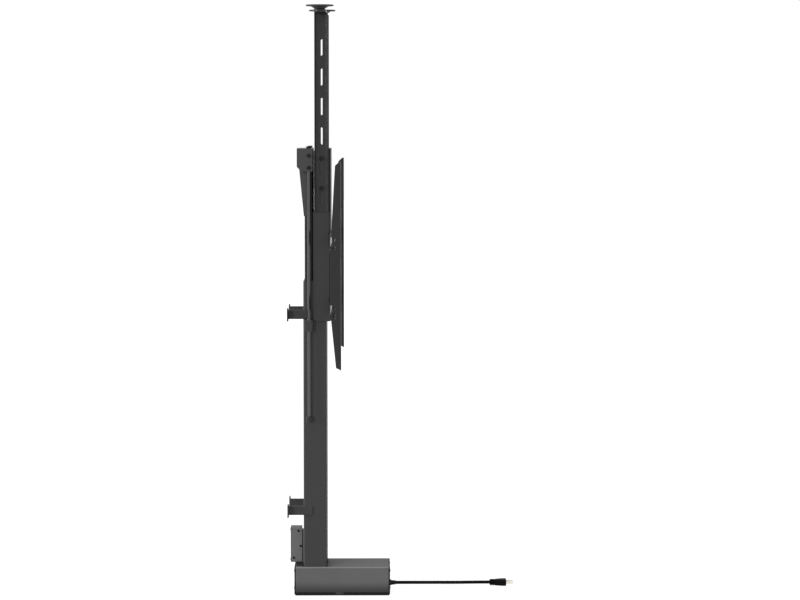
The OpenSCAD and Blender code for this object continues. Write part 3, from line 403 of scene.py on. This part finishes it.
def lay_mains_lead(plug):
    line = bpy.data.curves.new("mains_lead", "CURVE")
    line.dimensions = "3D"
    line.bevel_depth = lead_diameter / 2
    line.bevel_resolution = 5
    line.use_fill_caps = True
    spline = line.splines.new("POLY")
    spline.points.add(len(lead_points) - 1)
    for point, place in zip(spline.points, lead_points):
        point.co = (*place, 1)
    spline.use_smooth = True
    lead = bpy.data.objects.new("mains_lead", line)
    scene.collection.objects.link(lead)
    line.materials.append(finishes["cable_jacket"])
    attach(lead, "frame")
    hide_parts("power_cord")


# Working by hand: picking, lofting, turning, cutting and easing edges

smooth_below = 32
ease_above = 40
flat_within = 0.3
flat_weight = 100


def put_down():
    if bpy.context.object and bpy.context.object.mode != "OBJECT":
        bpy.ops.object.mode_set(mode="OBJECT")
    bpy.ops.object.select_all(action="DESELECT")


def pick_up(*pieces):
    put_down()
    for piece in pieces:
        piece.select_set(True)
    bpy.context.view_layer.objects.active = pieces[0]


def open_mesh(piece):
    pick_up(piece)
    bpy.ops.object.mode_set(mode="EDIT")
    bpy.ops.mesh.select_all(action="SELECT")


def close_mesh():
    bpy.ops.object.mode_set(mode="OBJECT")


def fix_place(piece):
    pick_up(piece)
    bpy.ops.object.transform_apply(location=True, rotation=True, scale=True)


def apply_modifier(piece, modifier):
    pick_up(piece)
    bpy.ops.object.modifier_apply(modifier=modifier.name)


def close_up(piece):
    open_mesh(piece)
    bpy.ops.mesh.remove_doubles(threshold=near)
    bpy.ops.mesh.normals_make_consistent(inside=False)
    close_mesh()


def join(pieces):
    pick_up(*pieces)
    if len(pieces) > 1:
        bpy.ops.object.join()
    return bpy.context.object


def ease_edges(piece, width):
    bevel = piece.modifiers.new("eased_edges", "BEVEL")
    bevel.width = width
    bevel.segments = 2
    bevel.limit_method = "ANGLE"
    bevel.angle_limit = math.radians(ease_above)
    bevel.use_clamp_overlap = False
    bevel.loop_slide = False
    apply_modifier(piece, bevel)


def settle(piece, name, body, slot, coat, *stands_for):
    fix_place(piece)
    bpy.ops.object.shade_smooth_by_angle(angle=math.radians(smooth_below))
    flat = piece.modifiers.new("flat_faces", "WEIGHTED_NORMAL")
    flat.weight = flat_weight
    flat.keep_sharp = True
    apply_modifier(piece, flat)
    piece.name = name
    piece.data.name = name
    piece.data.materials.clear()
    piece.data.materials.append(coat)
    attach(piece, body)
    if stands_for:
        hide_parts(*stands_for)


def copy_solid(name):
    piece = bpy.data.objects.new(name + "_work", nodes[name].data.copy())
    scene.collection.objects.link(piece)
    open_mesh(piece)
    bpy.ops.mesh.remove_doubles(threshold=near)
    bpy.ops.mesh.dissolve_limited(angle_limit=math.radians(flat_within))
    close_mesh()
    return piece


def draw_profile(points):
    """An open line in the XZ plane, drawn point by point"""
    put_down()
    bpy.ops.mesh.primitive_plane_add(size=0.001)
    piece = bpy.context.object
    open_mesh(piece)
    bpy.ops.mesh.merge(type="CENTER")
    bpy.ops.transform.translate(value=(points[0][0], 0, points[0][1]))
    for (r0, z0), (r1, z1) in zip(points, points[1:]):
        bpy.ops.mesh.extrude_region_move(TRANSFORM_OT_translate={"value": (r1 - r0, 0, z1 - z0)})
    close_mesh()
    return piece


def turn_on_lathe(points, steps, climb=0.0, turns=1):
    """A line of (radius, height) turned round Z, with a climb for a thread"""
    piece = draw_profile(points)
    sweep = piece.modifiers.new("sweep", "SCREW")
    sweep.axis = "Z"
    sweep.steps = steps
    sweep.render_steps = steps
    sweep.screw_offset = climb
    sweep.iterations = turns
    sweep.use_merge_vertices = False
    apply_modifier(piece, sweep)
    close_up(piece)
    return piece


def loft_along_x(sections, middle, sides=24, square=0.0):
    """Cross-sections (x, half depth, half height) joined into one closed body"""
    put_down()
    if square:
        bpy.ops.mesh.primitive_plane_add(size=2, rotation=(0, math.pi / 2, 0))
    else:
        bpy.ops.mesh.primitive_circle_add(vertices=sides, radius=1, fill_type="NGON", rotation=(0, math.pi / 2, 0))
    piece = bpy.context.object
    fix_place(piece)
    open_mesh(piece)
    if square:
        bpy.ops.mesh.bevel(offset=square, segments=5, affect="VERTICES")
        bpy.ops.mesh.select_all(action="SELECT")
    x, depth, height = sections[0]
    bpy.ops.transform.resize(value=(1, depth, height), center_override=(0, 0, 0))
    bpy.ops.transform.translate(value=(x, middle[0], middle[1]))
    for (x0, depth0, height0), (x1, depth1, height1) in zip(sections, sections[1:]):
        bpy.ops.mesh.extrude_region_move(TRANSFORM_OT_translate={"value": (x1 - x0, 0, 0)})
        bpy.ops.transform.resize(value=(1, depth1 / depth0, height1 / height0),
                                 center_override=(x1, middle[0], middle[1]))
    close_mesh()
    close_up(piece)
    return piece


def stand(piece, at, facing):
    piece.rotation_euler = Vector(facing).to_track_quat("Z", "Y").to_euler()
    piece.location = at
    fix_place(piece)
    return piece


def cut_away(piece, tools):
    tool = join(tools)
    cut = piece.modifiers.new("cut", "BOOLEAN")
    cut.operation = "DIFFERENCE"
    cut.solver = "EXACT"
    cut.use_self = True
    cut.object = tool
    apply_modifier(piece, cut)
    bpy.data.objects.remove(tool)


def socket_tool(at, facing, across, depth, sides=6):
    put_down()
    bpy.ops.mesh.primitive_cylinder_add(vertices=sides, radius=across / 2, depth=2 * depth)
    return stand(bpy.context.object, at, facing)


def cross_tools(at, facing, across, depth):
    tools = []
    for wide, tall in ((across, across / 4), (across / 4, across)):
        put_down()
        bpy.ops.mesh.primitive_cube_add(size=1, scale=(wide, tall, 2 * depth))
        tools.append(stand(bpy.context.object, at, facing))
    return tools


# Sheet metal: the solids again, each with the width by which its sheared edges are eased

sheet_pieces = {
    "column": ("column_sheet", 0.0004),
    "mast": ("mast_tube", 0.0004),
    "head_bracket": ("head_box", 0.0002),
    "guide_blocks": ("rod_blocks", 0.0008),
    "upper_wall_bracket": ("upper_wall_ears", 0.0007),
    "lower_wall_bracket": ("lower_wall_ears", 0.0007),
    "carriage": ("carriage_channel", 0.0007),
    "front_plate": ("carriage_face", 0.0006),
    "left_lid_bar": ("left_slotted_bar", 0.0006),
    "right_lid_bar": ("right_slotted_bar", 0.0006),
    "lid_crossbar": ("lid_beam", 0.0008),
    "upper_rail": ("upper_screen_rail", 0.0005),
    "lower_rail": ("lower_screen_rail", 0.0005),
    "left_arm": ("left_screen_arm", 0.0002),
    "right_arm": ("right_screen_arm", 0.0002),
    "base_housing": ("base_cover", 0.0004),
    "base_end_caps": ("base_ends", 0.0008),
    "base_plate": ("base_foot", 0.0008),
    "control_box_cover": ("receiver_lid", 0.0008),
    "plug_blades": ("plug_pins", 0.0003),
    "rod_stops": ("rod_collars", 0.0012),
    "bearing_plate": ("bearing_bridge", 0.0006),
    "mast_rail": ("mast_tee", 0.0003)}


def same(a, b):
    return abs(a - b) < near


def on_cover_fold(p, low, high):
    return same(p.z, high.z) and same(abs(p.y), high.y)


def on_arm_fold(p, low, high):
    return same(p.x, high.x) and (same(p.y, low.y) or same(p.y, high.y))


def on_front_fold(p, low, high):
    return same(p.x, high.x) and same(abs(p.y), high.y)


def on_back_fold(p, low, high):
    return same(p.x, low.x) and same(abs(p.y), high.y)


cover_fold, sheet_fold = 0.0016, 0.0025
steepest, flattest, least_lean = 0.15, 0.99, 0.1
folded_edges = {
    "base_housing": (cover_fold, on_cover_fold),
    "left_arm": (sheet_fold, on_arm_fold),
    "right_arm": (sheet_fold, on_arm_fold),
    "carriage": (sheet_fold, on_front_fold),
    "column": (sheet_fold, on_back_fold)}


def fold_edges(piece, name):
    """The long outer edges where the sheet is folded get the fold's radius"""
    radius, on_fold = folded_edges[name]
    low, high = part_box(name)
    pick_up(piece)
    bpy.ops.object.mode_set(mode="EDIT")
    bpy.ops.mesh.select_mode(type="EDGE")
    bpy.ops.mesh.select_all(action="DESELECT")
    close_mesh()
    points = piece.data.vertices
    for edge in piece.data.edges:
        a, b = (points[k].co for k in edge.vertices)
        along = abs(a.z - b.z) if same(a.y, b.y) and same(a.x, b.x) else abs(a.x - b.x)
        edge.select = along > 2 * radius and on_fold(a, low, high) and on_fold(b, low, high)
    bpy.ops.object.mode_set(mode="EDIT")
    bpy.ops.mesh.bevel(offset=radius, segments=4, affect="EDGES", clamp_overlap=False, loop_slide=False)
    bpy.ops.mesh.select_mode(type="VERT")
    close_mesh()


def ease_sheet_metal():
    for name, (piece_name, width) in sheet_pieces.items():
        piece = copy_solid(name)
        if name in folded_edges:
            fold_edges(piece, name)
        ease_edges(piece, width)
        settle(piece, piece_name, body_of(name), slot_of(name), coat_of(name), name)
        if name == "base_housing":
            paint_fold_highlight(piece)


def paint_fold_highlight(piece):
    """The two long folds of the cover's top get a paler coat: a painted highlight"""
    piece.data.materials.append(fold_highlight_coat)
    for face in piece.data.polygons:
        tilted = steepest < face.normal.z < flattest
        face.material_index = int(tilted and abs(face.normal.y) > least_lean)


# Fasteners: the same screws with their driving sockets and eased heads

rod_radius = 0.0035
cheek_bolt_heights = (0.934, 0.96)
bar_head_radius, rail_head_radius = 0.005, 0.0055
case_foot = 0.0046
case_screw_places = ((-0.008, -0.0085), (-0.0033, -0.042), (-0.0186, -0.068))
knob_flutes, flute_ring, flute_lift = 10, 0.0053, 0.004


def finish_screws(name, piece_name, tools, width):
    piece = copy_solid(name)
    ease_edges(piece, width)
    cut_away(piece, tools)
    settle(piece, piece_name, body_of(name), slot_of(name), coat_of(name), name)


def dress_head_bolts():
    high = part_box("head_bolts")[1]
    rod_low, rod_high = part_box("guide_rods")
    rod_x = (rod_low.x + rod_high.x) / 2
    rod_y = rod_high.y - rod_radius
    tools = [socket_tool((rod_x, side * rod_y, high.z), (0, 0, 1), across=0.0058, depth=0.0028)
             for side in both_sides]
    tools += [socket_tool((rod_x, side * high.y, z), (0, side, 0), across=0.0046, depth=0.002)
              for side in both_sides for z in cheek_bolt_heights]
    finish_screws("head_bolts", "head_screws", tools, width=0.0008)


def dress_bar_screws():
    low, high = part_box("lid_bar_screws")
    x = (low.x + high.x) / 2
    tools = [socket_tool((x, side * high.y, z), (0, side, 0), across=0.0052, depth=0.0018)
             for side in both_sides for z in (low.z + bar_head_radius, high.z - bar_head_radius)]
    finish_screws("lid_bar_screws", "bar_screws", tools, width=0.0003)


def dress_rail_screws():
    low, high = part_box("rail_screws")
    r = rail_head_radius
    tools = [socket_tool((high.x, y, z), (1, 0, 0), across=0.006, depth=0.002)
             for y in (low.y + r, high.y - r) for z in (low.z + r, high.z - r)]
    finish_screws("rail_screws", "rail_bolts", tools, width=0.0006)


def dress_case_screws():
    head_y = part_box("control_box_screws")[1].y
    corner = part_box("control_box")[1]
    places = [(corner.x - case_foot + x, corner.z + z) for x, z in case_screw_places]
    tools = [tool for side in both_sides for x, z in places
             for tool in cross_tools((x, side * head_y, z), (0, side, 0), across=0.0034, depth=0.0009)]
    finish_screws("control_box_screws", "case_screws", tools, width=0.0005)


def flute_lock_knobs():
    for name, piece_name in (("left_arm_lock", "left_lock_knob"), ("right_arm_lock", "right_lock_knob")):
        low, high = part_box(name)
        middle = (low + high) / 2
        tools = []
        for k in range(knob_flutes):
            turn = 2 * math.pi * k / knob_flutes
            at = (middle.x + flute_ring * math.cos(turn), middle.y + flute_ring * math.sin(turn), low.z + flute_lift)
            tools.append(socket_tool(at, (0, 0, 1), across=0.0016, depth=0.006, sides=10))
        finish_screws(name, piece_name, tools, width=0.0005)


# Lead screw with its four-start thread, seen through the column's open front

thread_lead, thread_starts, thread_crest, thread_root = 0.008, 4, 0.005, 0.0041
flank_foot, flank_head, crest_end = 0.25, 0.42, 0.83
journal_radius, collar_radius, screw_chamfer = 0.004, 0.008, 0.0004
collar_low, collar_high, thread_foot = 0.0873, 0.0913, 0.001
tip_height, tip_radius = 0.002, 0.0035


def cut_lead_screw():
    low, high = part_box("lead_screw")
    axis = Vector(((low.x + high.x) / 2, (low.y + high.y) / 2, 0))
    top = high.z - tip_height
    pitch = thread_lead / thread_starts
    points = []
    for k in range(thread_starts):
        z = collar_low - thread_lead + k * pitch
        points += [(thread_root, z), (thread_root, z + flank_foot * pitch), (thread_crest, z + flank_head * pitch),
                   (thread_crest, z + crest_end * pitch)]
    points.append((thread_root, collar_low))
    turns = math.ceil((top - collar_low) / thread_lead) + 2
    thread = turn_on_lathe(points, steps=24, climb=thread_lead, turns=turns)
    open_mesh(thread)
    for z, upper in ((collar_low + thread_foot, False), (top, True)):
        bpy.ops.mesh.select_all(action="SELECT")
        bpy.ops.mesh.bisect(plane_co=(0, 0, z), plane_no=(0, 0, 1), use_fill=True, clear_inner=not upper,
                            clear_outer=upper)
    close_mesh()
    edge = screw_chamfer
    shaft = turn_on_lathe([(0, low.z), (journal_radius - edge, low.z), (journal_radius, low.z + edge),
                           (journal_radius, collar_low), (collar_radius - edge, collar_low),
                           (collar_radius, collar_low + edge), (collar_radius, collar_high - edge),
                           (collar_radius - edge, collar_high), (0, collar_high)], steps=40)
    tip = turn_on_lathe([(0, top), (thread_root, top), (tip_radius, high.z), (0, high.z)], steps=32)
    screw = join([thread, shaft, tip])
    screw.location = axis
    settle(screw, "threaded_screw", "lead_screw", "zinc_steel", finishes["zinc_steel"], "lead_screw")


# Mains lead fittings: a ribbed boot at the base and a moulded plug with a ribbed grip

rib_count, rib_pitch = 4, 0.0026
rib_end, groove_start, groove_end = 0.0014, 0.0016, 0.0024
plug_rounding = 0.45


def mould_boot():
    """Collar and mouth as (distance from the wall or the lead's exit, radius), with tapering ribs between"""
    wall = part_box("base_end_caps")[1].x
    collar = ((-0.008, 0.0071), (-0.003, 0.0071), (-0.00295, 0.0051), (0, 0.0051), (0.00005, 0.0063),
              (0.0005, 0.0067), (0.0021, 0.0067), (0.0025, 0.0062), (0.003, 0.0056))
    mouth = ((-0.0004, 0.0044), (0, 0.0041))
    first_rib, rib_radius, rib_slope, taper, groove = wall + 0.0036, 0.0056, 0.0001, 0.00028, 0.0008
    sections = [(wall + along, r) for along, r in collar]
    for k in range(rib_count):
        r = rib_radius - taper * k
        x = first_rib + k * rib_pitch
        sections += [(x, r), (x + rib_end, r - rib_slope), (x + groove_start, r - groove),
                     (x + groove_end, r - groove)]
    sections += [(lead_out.x + along, r) for along, r in mouth]
    boot = loft_along_x([(x, r, r) for x, r in sections], (lead_out.y, lead_out.z))
    settle(boot, "lead_boot", "frame", "rubber", finishes["rubber"], "strain_relief")


def mould_plug():
    """Neck, shoulders and face as (distance from the cord's end or the face, half depth, half height)"""
    end = lead_points[-1]
    low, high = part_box("cord_plug")
    neck = ((0, 0.0044, 0.0046), (0.0012, 0.0054, 0.0058))
    shoulders = ((0.0128, 0.0066, 0.0069), (0.017, 0.0085, 0.007), (0.021, 0.0104, 0.0072), (0.025, 0.0117, 0.0074),
                 (0.028, 0.0122, 0.0075))
    face = ((-0.001, 0.0124, 0.0075), (-0.0003, 0.0122, 0.0073), (0, 0.0117, 0.0068))
    first_rib, widening = low.x + 0.0022, 0.00025
    rib_depth, rib_height, slot_depth, slot_height = 0.0058, 0.0068, 0.005, 0.0062
    sections = [(low.x + along, depth, height) for along, depth, height in neck]
    for k in range(rib_count):
        x = first_rib + rib_pitch * k
        grow = widening * k
        sections += [(x, rib_depth + grow, rib_height), (x + rib_end, rib_depth + grow, rib_height),
                     (x + groove_start, slot_depth + grow, slot_height),
                     (x + groove_end, slot_depth + grow, slot_height)]
    sections += [(low.x + along, depth, height) for along, depth, height in shoulders]
    sections += [(high.x + along, depth, height) for along, depth, height in face]
    plug = loft_along_x(sections, (end.y, end.z), square=plug_rounding)
    settle(plug, "lead_plug", "frame", "cable_jacket", finishes["cable_jacket"], "cord_plug")
    return plug


# Lid pads with ringed tops

# The stem as (radius, height) and the rim as (distance from the pad's edge, height)
pad_stem = ((0, 0), (0.0095, 0), (0.0102, 0.0004), (0.0196, 0.0062), (0.021, 0.0065))
pad_rim = ((-0.0009, 0.0065), (-0.0002, 0.0071), (0, 0.0078), (-0.0002, 0.0089))
rim_chamfer = 0.0008
pad_rings = (0.025, 0.0205, 0.016, 0.0115, 0.007)
ring_half, groove_half, groove_depth = 0.0011, 0.0006, 0.0007


def turn_lid_pads():
    low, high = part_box("lid_pads")
    radius = (high.x - low.x) / 2
    rise = high.z - low.z
    points = [*pad_stem, *((radius + out, z) for out, z in pad_rim), (radius - rim_chamfer, rise)]
    for ring in pad_rings:
        points += [(ring + ring_half, rise), (ring + groove_half, rise - groove_depth),
                   (ring - groove_half, rise - groove_depth), (ring - ring_half, rise)]
    points.append((0, rise))
    first = turn_on_lathe(points, steps=72)
    pads = []
    for y in (low.y + radius, high.y - radius):
        pad = bpy.data.objects.new("pad", first.data.copy())
        scene.collection.objects.link(pad)
        pad.location = ((low.x + high.x) / 2, y, low.z)
        fix_place(pad)
        pads.append(pad)
    bpy.data.objects.remove(first)
    settle(join(pads), "ringed_lid_pads", "lid_frame", "rubber", coat_of("lid_pads"), "lid_pads")


# Weld beads that hold the wall ears to the column

ear_lift, bead_ripple = 0.004, 0.0011
bead_end, bead_low, bead_crest, bead_out = 0.0007, 0.00115, 0.0014, 0.0002
bead_back, bead_front, bead_tail = 0.005, 0.002, 0.6


def lay_weld_beads():
    beads = []
    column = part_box("column")
    for name in ("upper_wall_bracket", "lower_wall_bracket"):
        low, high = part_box(name)
        x0, x1 = column[0].x + bead_back, high.x - bead_front
        count = int((x1 - x0) / bead_ripple)
        ripples = [(x0 + (k + 1) * bead_ripple, bead_crest if k % 2 else bead_low) for k in range(count)]
        line = [(x0, bead_end), *ripples, (x0 + (count + bead_tail) * bead_ripple, bead_end)]
        for side in both_sides:
            for z in (low.z + ear_lift, high.z - ear_lift):
                middle = (side * (column[1].y + bead_out), z)
                beads.append(loft_along_x([(x, r, r) for x, r in line], middle, sides=10))
    settle(join(beads), "ear_welds", "frame", "black_paint", finishes["column_paint"])


# Pan-head screws in the base's ends and the receiver's lid

end_screw_inset, lid_screw_inset, lid_screw_drop = 0.009, 0.005, 0.006
end_head, lid_head, pan_rise, pan_sunk = 0.006, 0.005, 0.001, 0.0004
cross_share, cross_depth = 0.62, 0.6

# The head's outline as (share of its radius, share of its rise)
pan_shape = ((1, 0.3), (0.93, 0.65), (0.7, 0.92), (0.4, 1), (0, 1))


def pan_screw(at, facing, across):
    r = across / 2
    outline = [(out * r, up * pan_rise) for out, up in pan_shape]
    head = turn_on_lathe([(0, -pan_sunk), (r, -pan_sunk), *outline], steps=28)
    cross = cross_tools((0, 0, pan_rise), (0, 0, 1), across=cross_share * across, depth=cross_depth * pan_rise)
    cut_away(head, cross)
    return stand(head, at, facing)


def fit_pan_screws():
    low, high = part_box("base_end_caps")
    ends = [pan_screw((x, side * (high.y - end_screw_inset), z), (facing, 0, 0), across=end_head)
            for x, facing in ((low.x, -1), (high.x, 1)) for side in both_sides
            for z in (low.z + end_screw_inset, high.z - end_screw_inset)]
    settle(join(ends), "end_screws", "frame", "black_steel", finishes["black_steel"])
    low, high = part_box("control_box_cover")
    lid = [pan_screw((low.x, side * (high.y - lid_screw_inset), z), (-1, 0, 0), across=lid_head)
           for side in both_sides for z in (low.z + lid_screw_drop, high.z - lid_screw_drop)]
    settle(join(lid), "lid_screws", "frame", "black_steel", finishes["black_steel"])


# Floor, sky and lamps

floor_size, floor_drop, floor_tone, floor_glow = 60, 0.0005, 0.3, 0.86
sky_light, sky_seen = 0.5, 1.0

# Each lamp's name, strength, softness in degrees, direction, and whether shiny faces mirror it
lamps = (
    ("key", 1.8, 8, (0.5, 0.84, -0.2), False),
    ("rim", 1.3, 8, (0.9, 0.4, -0.15), True),
    ("top", 0.5, 30, (0.1, 0.25, -0.96), True),
    ("screen_side", 0.8, 15, (-0.92, 0.15, -0.3), False),
    ("far_side", 1.0, 15, (0.2, -0.92, -0.3), False))


def rays_that_see(tree):
    """One for a ray from the camera, a mirror or through glass, else nought"""
    seen = node(tree, "ShaderNodeLightPath")
    shown = math_node(tree, "MAXIMUM", seen.outputs["Is Camera Ray"], seen.outputs["Is Glossy Ray"])
    return math_node(tree, "MAXIMUM", shown, seen.outputs["Is Transmission Ray"])


def lay_floor():
    bpy.ops.object.select_all(action="DESELECT")
    bpy.ops.mesh.primitive_plane_add(size=floor_size, location=(0, 0, -floor_drop))
    floor = bpy.context.object
    floor.name = "studio_floor"
    material, tree, shader = finish_base("pale_floor")
    tree.nodes.remove(shader)
    matt = node(tree, "ShaderNodeBsdfDiffuse")
    matt.inputs["Color"].default_value = (*grey(floor_tone), 1)
    glow = node(tree, "ShaderNodeEmission")
    tree.links.new(math_node(tree, "MULTIPLY", rays_that_see(tree), floor_glow), glow.inputs["Strength"])
    both = node(tree, "ShaderNodeAddShader")
    tree.links.new(matt.outputs[0], both.inputs[0])
    tree.links.new(glow.outputs[0], both.inputs[1])
    tree.links.new(both.outputs[0], tree.nodes["Material Output"].inputs["Surface"])
    floor.data.materials.append(material)


def light_studio():
    world = bpy.data.worlds.new("white_studio")
    world.use_nodes = True
    scene.world = world
    tree = world.node_tree
    sky = tree.nodes["Background"]
    sky.inputs["Color"].default_value = (1, 1, 1, 1)
    tree.links.new(remap(tree, rays_that_see(tree), 0.0, 1.0, sky_light, sky_seen), sky.inputs["Strength"])
    for name, strength, softness, aim, mirrored in lamps:
        lamp = bpy.data.lights.new(name, "SUN")
        lamp.energy = strength
        lamp.angle = math.radians(softness)
        lit = bpy.data.objects.new(name, lamp)
        lit.rotation_euler = Vector(aim).to_track_quat("-Z", "Y").to_euler()
        lit.visible_glossy = mirrored
        scene.collection.objects.link(lit)


place_camera()
coat_solids()
ease_sheet_metal()
dress_head_bolts()
dress_bar_screws()
dress_rail_screws()
dress_case_screws()
flute_lock_knobs()
cut_lead_screw()
turn_lid_pads()
lay_weld_beads()
fit_pan_screws()
mould_boot()
lay_mains_lead(mould_plug())
lay_floor()
light_studio()
scene.view_settings.view_transform = "Standard"
